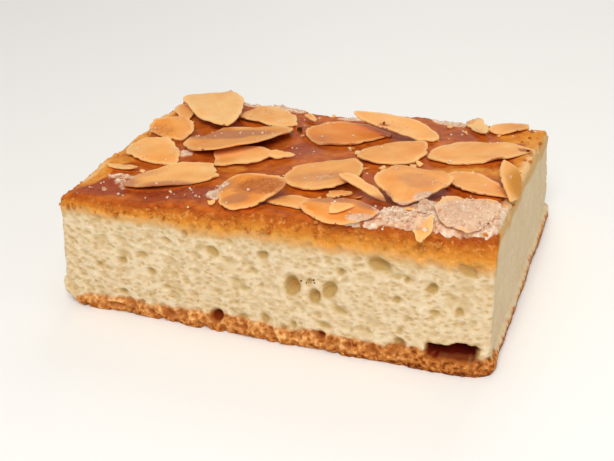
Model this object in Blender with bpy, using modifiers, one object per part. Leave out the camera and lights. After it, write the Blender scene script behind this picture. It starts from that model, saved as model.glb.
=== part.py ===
"""Butter cake: a slice of yeast-dough sheet cake, cut on all four sides, with almond flakes.

The cake is one solid: an open, pale crumb between a thin browned base and a browned, wavy top.
Each almond flake is a thin curled slice of its own, laid on the cake and on the flakes before it.

Sizes are in millimetres, times MM, because Blender works in metres. Plan positions are measured
from the front left corner of the slice's foot: x to the right, y to the back, z up. The finished
model has its origin at the middle of its underside.
"""

import math
import random
from collections import namedtuple

import bmesh
import bpy
from mathutils import Matrix, Vector, noise
from mathutils.bvhtree import BVHTree

MM = 0.001
SMALLEST = 1e-6
NOISE_GAIN = 1.6

# The slice. Corners run front left, front right, back right, back left.
FOOT_CORNERS = ((0.0, -0.8), (90.0, -1.8), (90.4, 67.5), (-1.0, 65.5))
TOP_CORNERS = ((0.8, 0.6), (90.2, -1.2), (89.6, 67.0), (-1.8, 65.2))
TOP_HEIGHTS = (24.0, 28.0, 21.4, 22.6)
CELLS = (30, 22, 10)
ROWS = (0.0, 0.03, 0.09, 0.14, 0.28, 0.43, 0.58, 0.72, 0.84, 0.93, 1.0)
EDGE_CROWDING = 0.5

TOP_EDGE_RADIUS = 1.6
FOOT_EDGE_RADIUS = 0.9
BASE_CRUST = 2.6
TOP_CRUST = 3.2
BASE_CRUST_LEDGE = 0.5
CRUMB_HOLLOW = 0.2
CRUST_BLEND = 1.0
SIDE_WAVE = 0.3
SIDE_WAVE_LENGTH = 9.0
TOP_WAVE = 0.6
TOP_WAVE_LENGTH = 13.0
LIFTED_CORNER = 3.4
LIFTED_REACH = 5.5

# Sugar baked into a low crust on the top: x, y, radius, height. The middle share of it is level.
SUGAR_CRUSTS = ((79.0, 6.0, 12.0, 0.4), (33.0, 9.0, 6.0, 0.3), (10.0, 12.0, 5.0, 0.3))
SUGAR_LEVEL_SHARE = 0.55

# Bubbles that the front cut opened: x, z, width, height, depth.
Bubble = namedtuple("Bubble", "x z width height depth")
FRONT_BUBBLES = (
    Bubble(82.5, 3.9, 10.0, 3.4, 9.0),
    Bubble(36.0, 3.4, 3.6, 2.8, 3.0),
    Bubble(51.3, 12.2, 3.2, 4.2, 2.6),
    Bubble(55.3, 10.6, 2.4, 2.4, 1.8),
    Bubble(58.8, 12.3, 3.6, 3.8, 2.4),
    Bubble(68.5, 19.0, 5.0, 2.4, 1.2),
    Bubble(78.5, 16.3, 2.2, 2.0, 1.6),
    Bubble(46.0, 17.8, 2.4, 1.8, 1.2),
    Bubble(43.5, 12.5, 2.2, 1.6, 1.4),
    Bubble(86.0, 19.6, 4.5, 2.0, 1.2),
    Bubble(79.0, 11.0, 3.0, 1.4, 1.2),
    Bubble(73.0, 6.0, 2.8, 1.6, 1.6),
    Bubble(34.5, 16.5, 2.5, 1.4, 1.2),
    Bubble(13.5, 11.3, 2.2, 1.4, 1.2),
    Bubble(26.5, 7.0, 2.4, 1.4, 1.2),
    Bubble(61.5, 7.0, 2.6, 1.4, 1.4),
)
SMALL_BUBBLES_PER_SIDE = 17
SMALL_BUBBLE_WIDTH = (1.6, 3.0)
SMALL_BUBBLE_FLATNESS = (0.5, 0.8)
SMALL_BUBBLE_DEPTH = 1.2
BUBBLE_BAND = (6.0, 16.5)
BUBBLE_SPACING = 3.4
BUBBLE_WALL = 0.5
LARGE_BUBBLE = 3.1
BUBBLE_SEED = 11

# Almond flakes in the order in which they lie, lowest first. turn is the angle in degrees from +x
# to the pointed end, rise_x and rise_y tip a flake up to the right and to the back, curl lifts its
# long edges, and broken is the share snapped off its blunt end.
Flake = namedtuple("Flake", "x y length width turn rise_x rise_y curl broken")
FLAKES = (
    Flake(4.7, 52.0, 15.5, 4.8, -63, -0.10, 0.00, 0.3, 0.0),
    Flake(26.8, 53.8, 17.0, 11.0, -27, 0.00, 0.02, 0.4, 0.1),
    Flake(8.4, 38.8, 12.0, 9.6, -50, -0.02, 0.02, -0.4, 0.1),
    Flake(30.6, 28.0, 12.0, 8.0, 26, 0.00, 0.02, 0.3, 0.2),
    Flake(38.3, 29.2, 6.0, 3.2, 20, 0.00, 0.00, 0.0, 0.0),
    Flake(7.1, 15.6, 7.2, 3.4, 184, 0.00, 0.00, 0.2, 0.0),
    Flake(48.1, 5.5, 9.0, 6.0, 180, 0.00, 0.02, 0.2, 0.2),
    Flake(57.2, 12.0, 4.6, 3.0, 15, 0.00, 0.00, 0.0, 0.2),
    Flake(61.6, 36.7, 18.7, 12.6, 59, 0.00, 0.02, -0.5, 0.0),
    Flake(82.0, 21.8, 17.0, 8.4, -33, 0.00, 0.03, 0.3, 0.0),
    Flake(47.8, 47.0, 19.8, 14.8, 26, -0.02, 0.03, 0.5, 0.0),
    Flake(81.9, 62.8, 12.0, 6.6, 60, 0.00, 0.02, 0.4, 0.1),
    Flake(75.2, 58.6, 11.0, 4.2, -62, -0.05, 0.02, 0.3, 0.1),
    Flake(51.7, 21.2, 19.8, 16.0, 74, 0.00, 0.02, 0.4, 0.0),
    Flake(40.4, 5.2, 14.0, 13.0, -89, -0.03, 0.00, -0.5, 0.1),
    Flake(25.9, 36.8, 25.0, 17.6, 48, 0.00, 0.03, 0.5, 0.0),
    Flake(10.4, 25.6, 16.0, 10.4, -32, -0.03, 0.02, 0.4, 0.0),
    Flake(19.9, 12.9, 20.0, 11.6, 214, 0.00, 0.02, 0.5, 0.1),
    Flake(76.8, -1.1, 5.0, 3.8, -86, 0.00, 0.30, 0.3, 0.2),
    Flake(83.5, 4.2, 13.6, 12.0, -80, 0.00, 0.00, 0.3, 0.1),
    Flake(60.0, 2.2, 15.8, 9.2, 176, 0.00, 0.01, -0.4, 0.0),
    Flake(61.6, 12.5, 15.0, 3.6, -36, 0.05, 0.02, 0.3, 0.0),
    Flake(70.7, 13.9, 17.0, 14.0, -88, 0.00, 0.02, 0.5, 0.1),
    Flake(78.7, 42.4, 22.0, 13.0, 24, 0.00, 0.03, 0.4, 0.0),
    Flake(88.2, 21.4, 15.4, 4.2, -80, -0.55, 0.00, -0.4, 0.1),
    Flake(13.2, 52.6, 23.5, 13.0, -55, 0.00, 0.05, 0.5, 0.2),
    Flake(57.7, 50.8, 21.0, 8.6, 171, -0.10, 0.04, 0.4, 0.0),
    Flake(61.0, 1.6, 5.0, 3.8, 20, 0.00, 0.00, 0.0, 0.2),
    Flake(34.9, 58.2, 5.0, 2.8, -42, 0.00, 0.05, 0.2, 0.1),
)
ALMOND_BLUNT = 0.5
ALMOND_POINT = 0.75
OUTLINE_WAVE = 0.10
FLAKE_THICKNESS = 0.9
FLAKE_GAP = 0.3
FLAKE_CELLS = (8, 3)
SMALL_FLAKE_CELLS = (5, 2)
SMALL_FLAKE = 7.0
FLAKE_WAVE = 0.25
FLAKE_WAVE_LENGTH = 6.0
WAVES_APART = 10.0
SAME_PLACE = 0.01
STEEPEST_REST = 0.3
PROBE_CELLS = (30, 17)
PROBE_MARGIN = 1.08
PROBE_HEIGHT = 60.0

CRUST_FACING = 0.5
CRUMB_COLOR = (0.80, 0.69, 0.47, 1.0)
CRUMB_ROUGHNESS = 0.85
CRUST_COLOR = (0.53, 0.21, 0.04, 1.0)
CRUST_ROUGHNESS = 0.55
FLAKE_COLOR = (0.83, 0.50, 0.20, 1.0)
FLAKE_ROUGHNESS = 0.5


def clear_scene():
    for thing in list(bpy.data.objects):
        bpy.data.objects.remove(thing)


def make_collection(name):
    collection = bpy.data.collections.new(name)
    bpy.context.scene.collection.children.link(collection)
    return collection


def make_material(name, color, roughness):
    material = bpy.data.materials.new(name)
    material.use_nodes = True
    shader = material.node_tree.nodes["Principled BSDF"]
    shader.inputs["Base Color"].default_value = color
    shader.inputs["Roughness"].default_value = roughness
    shader.inputs["Metallic"].default_value = 0.0
    return material


def make_object(name, bm, collection, *materials):
    """Turn a bmesh drawn in millimetres into a named object in metres."""
    bmesh.ops.transform(bm, matrix=Matrix.Scale(MM, 4), verts=bm.verts)
    mesh = bpy.data.meshes.new(name)
    bm.to_mesh(mesh)
    bm.free()
    for material in materials:
        mesh.materials.append(material)
    thing = bpy.data.objects.new(name, mesh)
    collection.objects.link(thing)
    return thing


def across(corners, u, v):
    """Blend four corner values, in their order round the slice, at u to the right and v back."""
    front = corners[0] * (1 - u) + corners[1] * u
    back = corners[3] * (1 - u) + corners[2] * u
    return front * (1 - v) + back * v


def crowd_ends(t):
    """Move grid lines towards both ends of the range from 0 to 1."""
    return t - EDGE_CROWDING * math.sin(2 * math.pi * t) / (2 * math.pi)


def smooth_step(low, high, value):
    t = min(1.0, max(0.0, (value - low) / (high - low)))
    return t * t * (3 - 2 * t)


def wave(x, y, z, length):
    """Smooth, repeatable unevenness between about -1 and 1."""
    return NOISE_GAIN * noise.noise(Vector((x, y, z)) / length)


def sugar_height(x, y):
    """The highest of the low sugar crusts at a place on the top."""
    heights = [0.0]
    for crust_x, crust_y, radius, height in SUGAR_CRUSTS:
        away = math.hypot(x - crust_x, y - crust_y) / radius
        heights.append(height * (1 - smooth_step(SUGAR_LEVEL_SHARE, 1.0, away)))
    return max(heights)


def edge_shift(from_side, from_end, radius):
    """How far a point near a square edge moves in and along to lie on the rounded edge."""
    side = radius - from_side
    end = radius - from_end
    if side <= 0 or end <= 0:
        return 0.0, 0.0
    keep = max(side, end) / math.hypot(side, end)
    return side * (1 - keep), end * (1 - keep)


def side_relief(above_foot, below_top, x, y, z):
    """Outward shift of a cut side: base crust proud, crumb a little hollow, all of it uneven."""
    ledge = 1 - smooth_step(BASE_CRUST, BASE_CRUST + CRUST_BLEND, above_foot)
    crumb = (1 - ledge) * smooth_step(TOP_CRUST - CRUST_BLEND, TOP_CRUST + CRUST_BLEND, below_top)
    uneven = SIDE_WAVE * wave(x, y, z, SIDE_WAVE_LENGTH)
    return BASE_CRUST_LEDGE * ledge - CRUMB_HOLLOW * crumb + uneven


def cake_point(cube_point):
    """Map a point of the unit cube's surface to the slice's surface."""
    u = crowd_ends(cube_point.x + 0.5)
    v = crowd_ends(cube_point.y + 0.5)
    w = ROWS[round((cube_point.z + 0.5) * CELLS[2])]
    foot = across([Vector(corner) for corner in FOOT_CORNERS], u, v)
    crown = across([Vector(corner) for corner in TOP_CORNERS], u, v)
    x, y = foot.lerp(crown, w)

    lift_away = min(1.0, foot.length / LIFTED_REACH)
    low = LIFTED_CORNER * (1 - lift_away) ** 2
    high = across(TOP_HEIGHTS, u, v) + TOP_WAVE * wave(x, y, 0.0, TOP_WAVE_LENGTH)
    high += sugar_height(x, y)
    z = low * (1 - w) + high * w

    width = TOP_CORNERS[1][0] - TOP_CORNERS[0][0]
    depth = TOP_CORNERS[2][1] - TOP_CORNERS[1][1]
    above_foot = z - low
    below_top = high - z
    ends = ((below_top, TOP_EDGE_RADIUS, -1), (above_foot, FOOT_EDGE_RADIUS, 1))
    sides = ((u * width, Vector((1, 0))), ((1 - u) * width, Vector((-1, 0))),
             (v * depth, Vector((0, 1))), ((1 - v) * depth, Vector((0, -1))))
    shift = Vector((0.0, 0.0))
    for from_end, radius, up in ends:
        along = 0.0
        for from_side, inward in sides:
            move_in, move_along = edge_shift(from_side, from_end, radius)
            shift += inward * move_in
            along = max(along, move_along)
        z += up * along
    for from_side, inward in sides:
        if from_side == 0:
            shift -= inward * side_relief(above_foot, below_top, x, y, z)
    return Vector((x + shift.x, y + shift.y, z))


def cake_surface():
    """The slice as a closed grid: a cube cut into rows, then bent to shape."""
    bm = bmesh.new()
    bmesh.ops.create_cube(bm, size=1.0)
    for axis, cells in enumerate(CELLS):
        along = [edge for edge in bm.edges
                 if abs(edge.verts[0].co[axis] - edge.verts[1].co[axis]) > 0.5]
        bmesh.ops.subdivide_edges(bm, edges=along, cuts=cells - 1, use_grid_fill=True)
    for vert in bm.verts:
        vert.co = cake_point(vert.co)
    flat = [face for face in bm.faces if all(vert.co.z < SMALLEST for vert in face.verts)]
    bmesh.ops.dissolve_faces(bm, faces=flat)
    bmesh.ops.triangulate(bm, faces=bm.faces)
    return bm


def side_point(side, share, height):
    """A point on a flat cut side: share of the way along it, at a height."""
    foot = Vector(FOOT_CORNERS[side]).lerp(Vector(FOOT_CORNERS[(side + 1) % 4]), share)
    crown = Vector(TOP_CORNERS[side]).lerp(Vector(TOP_CORNERS[(side + 1) % 4]), share)
    tall = TOP_HEIGHTS[side] * (1 - share) + TOP_HEIGHTS[(side + 1) % 4] * share
    return foot.lerp(crown, height / tall).to_3d() + Vector((0.0, 0.0, height))


def side_length(side):
    return (Vector(FOOT_CORNERS[(side + 1) % 4]) - Vector(FOOT_CORNERS[side])).length


def small_bubbles(side, taken, draw):
    """Scatter small bubbles over a cut side, clear of its edges and of those already there."""
    length = side_length(side)
    bubbles = []
    while len(bubbles) < SMALL_BUBBLES_PER_SIDE:
        width = draw.uniform(*SMALL_BUBBLE_WIDTH)
        x = draw.uniform(BUBBLE_SPACING, length - BUBBLE_SPACING)
        z = draw.uniform(*BUBBLE_BAND)
        height = width * draw.uniform(*SMALL_BUBBLE_FLATNESS)
        bubble = Bubble(x, z, width, height, SMALL_BUBBLE_DEPTH)
        clear = all(abs(bubble.x - other.x) > (bubble.width + other.width) / 2 + BUBBLE_WALL
                    or abs(bubble.z - other.z) > (bubble.height + other.height) / 2 + BUBBLE_WALL
                    for other in list(taken) + bubbles)
        if clear:
            bubbles.append(bubble)
    return bubbles


def add_bubble(bm, side, bubble):
    """Add a flattened ball whose middle lies on a cut side."""
    start = Vector(FOOT_CORNERS[side])
    along = Vector(FOOT_CORNERS[(side + 1) % 4]) - start
    place = Matrix.Translation(side_point(side, bubble.x / along.length, bubble.z))
    turn = Matrix.Rotation(math.atan2(along.y, along.x), 4, "Z")
    size = Matrix.Diagonal((bubble.width / 2, bubble.depth, bubble.height / 2, 1.0))
    fineness = 2 if bubble.width > LARGE_BUBBLE else 1
    bmesh.ops.create_icosphere(bm, subdivisions=fineness, radius=1.0, matrix=place @ turn @ size)


def make_bubbles(collection):
    """One cutter that holds every bubble of the four cut sides."""
    draw = random.Random(BUBBLE_SEED)
    bm = bmesh.new()
    for side in range(4):
        shown = FRONT_BUBBLES if side == 0 else ()
        for bubble in list(shown) + small_bubbles(side, shown, draw):
            add_bubble(bm, side, bubble)
    cutter = make_object("crumb_bubbles", bm, collection)
    cutter.display_type = "WIRE"
    cutter.hide_render = True
    return cutter


def make_cake(collection, cutter, crumb, crust):
    """The slice, with browned faces on top and along the base, and its bubbles cut out."""
    bm = cake_surface()
    for face in bm.faces:
        on_top = face.normal.z > CRUST_FACING
        on_base = face.calc_center_median().z < BASE_CRUST
        face.material_index = 1 if on_top or on_base else 0
    cake = make_object("cake", bm, collection, crumb, crust)
    cut = cake.modifiers.new("bubbles", "BOOLEAN")
    cut.operation = "DIFFERENCE"
    cut.solver = "EXACT"
    cut.object = cutter
    return cake


def almond_half_width(t):
    """Half-width of a whole almond slice as a share of its widest, from blunt end 0 to point 1."""
    widest = ALMOND_BLUNT / (ALMOND_BLUNT + ALMOND_POINT)
    peak = widest ** ALMOND_BLUNT * (1 - widest) ** ALMOND_POINT
    return t ** ALMOND_BLUNT * (1 - t) ** ALMOND_POINT / peak


def flake_point(flake, number, along, side):
    """A point of a flake's underside before it is laid: along runs 0 to 1, side runs -1 to 1."""
    share = 0.5 - 0.5 * math.cos(math.pi * min(1.0, max(0.0, along)))
    half = almond_half_width(flake.broken + (1 - flake.broken) * share)
    ragged = 1 + OUTLINE_WAVE * wave(share * flake.length, side * FLAKE_WAVE_LENGTH,
                                     number * WAVES_APART, FLAKE_WAVE_LENGTH)
    local_x = (share - 0.5) * flake.length
    local_y = side * half * ragged * flake.width / 2
    turn = math.radians(flake.turn)
    x = math.cos(turn) * local_x - math.sin(turn) * local_y
    y = math.sin(turn) * local_x + math.cos(turn) * local_y
    uneven = FLAKE_WAVE * wave(local_x, local_y, number * WAVES_APART, FLAKE_WAVE_LENGTH)
    return Vector((x, y, flake.curl * (side * half) ** 2 + uneven))


def support_height(trees, x, y):
    """The highest surface below a place on the top, or None beyond the slice."""
    above = Vector((x, y, PROBE_HEIGHT)) * MM
    hits = [tree.ray_cast(above, Vector((0.0, 0.0, -1.0)))[0] for tree in trees]
    return max((hit.z / MM for hit in hits if hit), default=None)


def resting_slope(points):
    """The slope of the flat sheet that rests on points under its middle, as rise over x and y."""
    hull = bmesh.new()
    verts = [hull.verts.new(point) for point in points]
    bmesh.ops.convex_hull(hull, input=verts)
    tree = BVHTree.FromBMesh(hull)
    hull.free()
    normal = tree.ray_cast(Vector((0.0, 0.0, PROBE_HEIGHT)), Vector((0.0, 0.0, -1.0)))[1]
    if normal is None or abs(normal.z) < SMALLEST:
        return Vector((0.0, 0.0))
    slope = Vector((-normal.x / normal.z, -normal.y / normal.z))
    return slope * min(1.0, STEEPEST_REST / max(slope.length, SMALLEST))


def settle(flake, number, trees):
    """Lay a flake on what is below it: its slope, and the height of its middle."""
    probes = []
    for column in range(PROBE_CELLS[0] + 1):
        for row in range(PROBE_CELLS[1] + 1):
            side = (2 * row / PROBE_CELLS[1] - 1) * PROBE_MARGIN
            point = flake_point(flake, number, column / PROBE_CELLS[0], side)
            below = support_height(trees, flake.x + point.x, flake.y + point.y)
            if below is not None:
                probes.append(Vector((point.x, point.y, below + FLAKE_GAP - point.z)))
    slope = resting_slope(probes) + Vector((flake.rise_x, flake.rise_y))
    height = max(probe.z - slope.dot(probe.xy) for probe in probes)
    return slope, height


def make_flake(flake, number, trees, collection, material):
    """One almond slice: a grid bent to its outline, laid in place and thickened upwards."""
    slope, height = settle(flake, number, trees)
    cells = FLAKE_CELLS if flake.length > SMALL_FLAKE else SMALL_FLAKE_CELLS
    bm = bmesh.new()
    bmesh.ops.create_grid(bm, x_segments=cells[0], y_segments=cells[1], size=0.5)
    for vert in bm.verts:
        point = flake_point(flake, number, vert.co.x + 0.5, vert.co.y * 2)
        lift = height + slope.dot(point.xy)
        vert.co = Vector((flake.x + point.x, flake.y + point.y, point.z + lift))
    bmesh.ops.remove_doubles(bm, verts=bm.verts, dist=SAME_PLACE)
    bmesh.ops.triangulate(bm, faces=bm.faces)
    thing = make_object(f"almond_flake_{number:02d}", bm, collection, material)
    shell = thing.modifiers.new("thickness", "SOLIDIFY")
    shell.thickness = FLAKE_THICKNESS * MM
    shell.offset = 1.0
    return thing


def surface_tree(thing):
    """A search tree of an object's finished surface."""
    bpy.context.view_layer.update()
    return BVHTree.FromObject(thing, bpy.context.evaluated_depsgraph_get())


def center_on_foot(things, collection):
    """Hang every object on one empty that puts the middle of the underside at the origin."""
    depsgraph = bpy.context.evaluated_depsgraph_get()
    finished = [thing.evaluated_get(depsgraph) for thing in things]
    corners = [Vector(corner) for thing in finished for corner in thing.bound_box]
    middle = Vector((0.0, 0.0, 0.0))
    for axis in range(2):
        values = [corner[axis] for corner in corners]
        middle[axis] = (min(values) + max(values)) / 2
    anchor = bpy.data.objects.new("butter_cake_foot", None)
    collection.objects.link(anchor)
    anchor.location = -middle
    for thing in things:
        thing.parent = anchor
    return anchor


def main():
    clear_scene()
    parts = make_collection("butter_cake")
    cutters = make_collection("cutters")
    crumb = make_material("yeast_crumb", CRUMB_COLOR, CRUMB_ROUGHNESS)
    crust = make_material("browned_crust", CRUST_COLOR, CRUST_ROUGHNESS)
    almond = make_material("toasted_almond", FLAKE_COLOR, FLAKE_ROUGHNESS)
    cutter = make_bubbles(cutters)
    cake = make_cake(parts, cutter, crumb, crust)
    laid = [cake]
    trees = [surface_tree(cake)]
    for number, flake in enumerate(FLAKES, start=1):
        thing = make_flake(flake, number, trees, parts, almond)
        laid.append(thing)
        trees.append(surface_tree(thing))
    anchor = center_on_foot(laid, parts)
    cutter.parent = anchor


main()
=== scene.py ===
# %% [markdown]
# # A slice of butter cake
#
# A butter cake is a yeast dough baked flat in a tray. Butter and sugar are spread over it with
# sliced almonds, and the oven turns them into a brown, glossy top. The slice is cut on all four
# sides, so the sides show an open, pale crumb between a browned top and a thin browned base.
#
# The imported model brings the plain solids: one cake and twenty-nine almond flakes. Every solid is
# replaced here by a finer piece of the same form, so it is loaded first and measured.

# %% Load the plain solids
import itertools
import math
from collections import namedtuple

import bmesh
import bpy
import numpy as np
from mathutils import Matrix, Vector, noise
from mathutils.bvhtree import BVHTree
from mathutils.kdtree import KDTree


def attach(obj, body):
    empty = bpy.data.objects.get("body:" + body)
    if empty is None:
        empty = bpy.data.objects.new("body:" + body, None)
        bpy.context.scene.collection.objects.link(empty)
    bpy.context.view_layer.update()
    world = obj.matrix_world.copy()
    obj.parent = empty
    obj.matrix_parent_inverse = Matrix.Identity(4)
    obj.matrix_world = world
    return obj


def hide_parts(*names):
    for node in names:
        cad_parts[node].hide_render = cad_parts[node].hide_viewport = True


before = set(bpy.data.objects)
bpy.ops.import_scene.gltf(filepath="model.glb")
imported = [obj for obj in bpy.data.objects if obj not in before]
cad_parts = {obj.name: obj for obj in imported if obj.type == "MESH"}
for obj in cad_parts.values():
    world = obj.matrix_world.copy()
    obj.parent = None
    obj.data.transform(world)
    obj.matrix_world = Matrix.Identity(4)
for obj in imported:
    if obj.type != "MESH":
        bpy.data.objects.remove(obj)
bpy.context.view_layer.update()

# %% [markdown]
# ## Sizes
#
# All sizes below are in millimetres, because crumb, sugar and flakes are small things. Places on
# the slice are measured from the front left corner of its foot: x to the right, y to the back.
# FOOT_AT says where that corner is in the model, whose origin is the middle of the underside.
# The four corners of foot and top, the heights and the two slow waves are those of the plain cake.

# %% The slice's own sizes
MM = 0.001
FOOT_AT = np.array((-44.581, -32.042, 0.0))
WIDTH = 90.0
DEPTH = 67.0
FOOT_CORNERS = np.array(((0.0, -0.8), (90.0, -1.8), (90.4, 67.5), (-1.0, 65.5)))
TOP_CORNERS = np.array(((0.8, 0.6), (90.2, -1.2), (89.6, 67.0), (-1.8, 65.2)))
TOP_HEIGHTS = np.array((24.0, 28.0, 21.4, 22.6))
BASE_CRUST = 2.6
TOP_CRUST = 3.2
TOP_WAVE = 0.6
TOP_WAVE_LENGTH = 13.0
FOOT_BOW = 2.5
BACK_DIP = 1.3
BACK_DIP_AT = 41.0
BACK_DIP_REACH = 8.0


def blend_corners(corners, u, v):
    """Values between four corner values, which run round the slice from the front left."""
    front = corners[0] * (1 - u) + corners[1] * u
    back = corners[3] * (1 - u) + corners[2] * u
    return front * (1 - v) + back * v


def smooth_step(low, high, value):
    t = np.clip((value - low) / (high - low), 0, 1)
    return t * t * (3 - 2 * t)


print(f"{WIDTH:.0f} x {DEPTH:.0f} mm, and {TOP_HEIGHTS.min():.0f} to {TOP_HEIGHTS.max():.0f} mm high")

# %% [markdown]
# ## Unevenness
#
# Nothing on a cake is straight. Two kinds of smooth noise are used. The slow waves of the plain
# cake come from Blender's own noise, point by point, so that the fine cake lies where the plain
# one does. The finer bumps come from a small table of random numbers that is blended between its
# entries, which numpy does for a hundred thousand points at once.

# %% Two kinds of smooth noise
NOISE_GAIN = 1.6
TABLE_SIZE = 32
INTO_POSITIVE = 1000.5


def slow_wave(points, length):
    """The waves of the plain cake, about -1 to 1."""
    return np.array([NOISE_GAIN * noise.noise(Vector(point) / length) for point in points])


def bumps(points, length, seed):
    """Bumps of a length in millimetres, -1 to 1 and the same in every run."""
    table = np.random.default_rng(seed).uniform(-1, 1, (TABLE_SIZE, TABLE_SIZE, TABLE_SIZE))
    place = np.asarray(points) / length + INTO_POSITIVE
    cell = np.floor(place).astype(int)
    part = place - cell
    part = part * part * (3 - 2 * part)
    total = np.zeros(len(place))
    for corner in itertools.product((0, 1), repeat=3):
        share = np.prod(np.where(corner, part, 1 - part), axis=1)
        total += share * table[tuple(((cell + corner) % TABLE_SIZE).T)]
    return total


def bumpy(points, *kinds):
    """Several kinds of bumps added up, each given as its height, length and seed."""
    return sum(height * bumps(points, length, seed) for height, length, seed in kinds)


print(f"bumps at three places: {bumps(((0, 0, 0), (3, 1, 0), (9, 9, 2)), 4.0, 1).round(2)}")

# %% [markdown]
# ## From sheets to pieces
#
# Each piece starts as a bmesh shape. Its corners are then handed to numpy, moved all at once, and
# handed back. These helpers turn a bmesh into a mesh and back, store a number for every corner
# (an attribute that a material can read), and hang the finished piece on the body.

# %% Helpers that make pieces
SAME_PLACE = 0.01 * MM


def open_mesh(mesh):
    bm = bmesh.new()
    bm.from_mesh(mesh)
    return bm


def close_mesh(bm, mesh):
    bm.to_mesh(mesh)
    bm.free()
    mesh.calc_loop_triangles()
    return mesh


def flat_grid(name, columns, rows, size=0.5):
    """A flat square mesh in columns and rows."""
    bm = bmesh.new()
    bmesh.ops.create_grid(bm, x_segments=columns, y_segments=rows, size=size)
    return close_mesh(bm, bpy.data.meshes.new(name))


def fill_rims(bm):
    """One face in each open rim, then all faces turned outwards."""
    bmesh.ops.holes_fill(bm, edges=[edge for edge in bm.edges if edge.is_boundary], sides=0)
    bmesh.ops.recalc_face_normals(bm, faces=bm.faces)


def read_rows(items, key):
    """Three numbers for each item, one item a row."""
    flat = np.empty(len(items) * 3)
    items.foreach_get(key, flat)
    return flat.reshape(-1, 3)


def get_places(mesh):
    """A mesh's corners in millimetres, from the front left of the foot."""
    return read_rows(mesh.vertices, "co") / MM - FOOT_AT


def set_places(mesh, places):
    mesh.vertices.foreach_set("co", ((places + FOOT_AT) * MM).ravel())
    mesh.update()


def get_normals(mesh):
    return read_rows(mesh.vertex_normals, "vector")


def set_number(mesh, name, values):
    """Store one number for each corner, for a material to read."""
    attribute = mesh.attributes.new(name, "FLOAT", "POINT")
    attribute.data.foreach_set("value", np.asarray(values, dtype=np.float32))


def put_in_scene(name, data):
    thing = bpy.data.objects.new(name, data)
    bpy.context.scene.collection.objects.link(thing)
    return thing


def make_piece(name, mesh, finish, nodes, smooth=True):
    """Add a finished mesh as a piece that rides on the slice and stands for some plain nodes."""
    mesh.name = name
    mesh.polygons.foreach_set("use_smooth", np.full(len(mesh.polygons), smooth))
    mesh.materials.clear()
    mesh.materials.append(finish)
    piece = put_in_scene(name, mesh)
    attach(piece, "root")
    for node in nodes:
        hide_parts(node)


print("helpers for meshes, places, numbers and pieces")

# %% [markdown]
# ## Painting with patches
#
# Butter and sugar don't spread evenly. Some places hold a mauve film of melted sugar, some are
# crusted with undissolved sugar, some almonds are browned more than others, and along the cuts
# the dough is bare and golden, or pale at the very edge. Each such place is a soft oval on the
# plan of the slice. The same lists paint the cake's top and the flakes on it, so a sugared place
# runs on from a flake to the cake beside it.

# %% Melted, sugared, browned, golden and pale places
Patch = namedtuple("Patch", "x y long wide turn strength")


def patches(*rows):
    return [Patch(*row) for row in rows]


MELTED = patches(
    (22.5, 38, 12, 5, 16, 1), (71.5, 16, 5, 4.4, 0, 0.5), (50.7, 18.4, 8, 4.4, 20, 0.5),
    (57, 6.5, 6, 4, 10, 0.7), (39.5, 2.3, 3.6, 2.4, 10, 0.8), (58.5, 5.2, 6, 2, 15, 0.8),
    (14.5, 12.8, 6, 2.2, 25, 0.4), (9, 7, 8, 5, 10, 0.9), (26, 7, 13, 4.6, 5, 1),
    (41, 37, 9, 6, 60, 0.6), (66, 6, 4, 4, 0, 1), (72, 55, 6, 4, 0, 0.5),
)
SUGARED = patches(
    (33.2, 7.6, 2.6, 3, 0, 0.9), (9.2, 12.3, 3.8, 1.5, 15, 0.6), (11.5, 8.6, 4.6, 2, -40, 0.4),
    (16, 27.4, 3, 2, 0, 0.6), (65.4, -0.4, 4, 1.8, 0, 0.9), (51, 18, 5, 2.6, 20, 0.4),
    (72.5, 3, 6.8, 4.8, 0, 1), (72.4, -0.4, 5.6, 2.6, 0, 1), (84.4, -0.2, 5.4, 2.2, 0, 0.9),
    (75, 9.3, 3.4, 3.4, 0, 0.9), (84, 4, 8.6, 8, 5, 1), (88.6, 8, 2.2, 4.6, 0, 0.8),
    (20, 64.8, 14, 2.4, -3, 0.9), (69, 64.2, 7, 2.6, 0, 1), (46, 63.5, 8, 1.6, 0, 0.6),
)
BROWNED = patches(
    (42.5, 7.5, 7, 4.4, 10, 0.8), (5.5, 37.1, 5, 4, 0, 0.5), (46.7, 38.4, 3.6, 1.2, 20, 0.9),
    (51.2, 39.8, 3.6, 1.2, 30, 0.9), (57, 43.6, 3, 1.6, 35, 0.9), (55.7, 48.5, 1.4, 1, 0, 1),
    (87.2, 45.8, 1.8, 1.6, 30, 0.9), (83.2, 37.7, 2.8, 1.2, 20, 0.9), (21.9, 57.3, 6.5, 4, -20, 0.4),
    (72.4, 61.7, 2, 2, 0, 0.5), (18.3, 45.9, 3, 1.4, 0, 0.3),
)
GOLDEN = patches(
    (0, 38, 30, 3.4, 90, 1), (5, 22, 9, 3, 70, 0.8), (89.8, 44, 26, 4.6, 90, 1), (86, 61, 9, 9, 0, 1),
    (78, 31, 12, 5, 10, 0.7), (29.4, 22.6, 4.6, 2.8, 0, 0.7), (90.4, 22, 8, 2.2, 90, 1),
    (3.2, 14, 9.5, 3.2, 90, 1),
)
HANGING = patches(
    (90.5, 24, 9, 3.2, 90, 1),
)
CRUMBLY = patches(
    (45, -0.4, 45, 1.5, 0, 1), (0.4, 12, 12, 1.2, 90, 0.8), (89.6, 30, 34, 1.2, 90, 0.5),
)
PALE = patches(
    (90.4, 30, 36, 3.2, 90, 1), (90, 60, 2, 6, 0, 0.5), (1.6, 14, 8, 1.6, 90, 0.7),
    (0, 40, 26, 1.6, 90, 0.6),
)


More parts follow.
